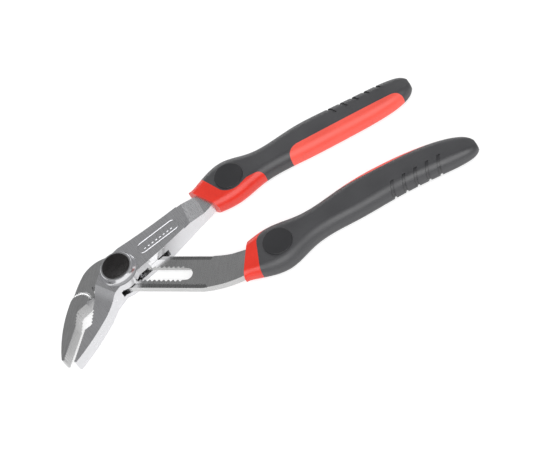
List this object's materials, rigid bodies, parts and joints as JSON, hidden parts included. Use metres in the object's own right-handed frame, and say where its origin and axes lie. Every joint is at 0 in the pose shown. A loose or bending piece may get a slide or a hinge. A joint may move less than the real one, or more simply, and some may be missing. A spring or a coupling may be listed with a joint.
{
  "type": "tongue and groove pliers",
  "caption": "Slip-joint pliers with angled toothed jaws, a box joint with a spring push button, a toothed slot for setting the jaw opening, and soft two-colour grips.",
  "frame": {"origin": "on the pivot axis, in the plane the tool lies on (the rear bush's outer face)", "axes": "+Z along the pivot axis, up through the push button; jaws towards -X, handles towards +X; the outer lever's handle is on the +Y side"},
  "size_m": [0.2551, 0.0839, 0.0184],
  "materials": {
    "satin_chrome_outer": "satin chrome plate over forged steel",
    "satin_chrome_inner": "satin chrome plate over forged steel",
    "pin_steel": "ground steel",
    "black_oxide": "satin black",
    "spring_steel": "drawn wire",
    "washer_steel": "stamped steel",
    "bush_steel": "turned steel",
    "hard_red": "semi-gloss, moulded",
    "inlay_red": "semi-gloss, moulded",
    "charcoal_rubber": "fine matt, soft over-mould",
    "black_rubber": "matt"
  },
  "bodies": {
    "outer": {"outer_lever": "satin_chrome_outer", "rear_bush": "bush_steel", "outer_grip_sleeve": "hard_red", "outer_grip_cover": "charcoal_rubber", "outer_grip_inlay": "inlay_red", "outer_thumb_pad": "black_rubber"},
    "swivel": {"spring_seat": "washer_steel", "button_spring": "spring_steel"},
    "pin": {"pivot_pin": "pin_steel", "push_button": "black_oxide"},
    "inner": {"inner_lever": "satin_chrome_inner", "inner_grip_sleeve": "hard_red", "inner_grip_cover": "charcoal_rubber", "inner_grip_inlay": "inlay_red", "inner_thumb_pad": "black_rubber"}
  },
  "joints": [
    {"name": "lever_pivot", "type": "hinge", "parent": "outer", "child": "swivel", "pos_m": [0, 0, 0], "axis": [0, 0, 1], "range_deg": [-28, 5.6]},
    {"name": "slot_adjust", "type": "slide", "parent": "swivel", "child": "inner", "axis": [-0.8241, 0.5664, 0], "range_m": [0, 0.0336]},
    {"name": "button_press", "type": "slide", "parent": "swivel", "child": "pin", "axis": [0, 0, -1], "range_m": [0, 0.0024], "stiffness_N_per_m": 2000, "springref_m": -0.002, "deforming": ["button_spring"]}
  ]
}
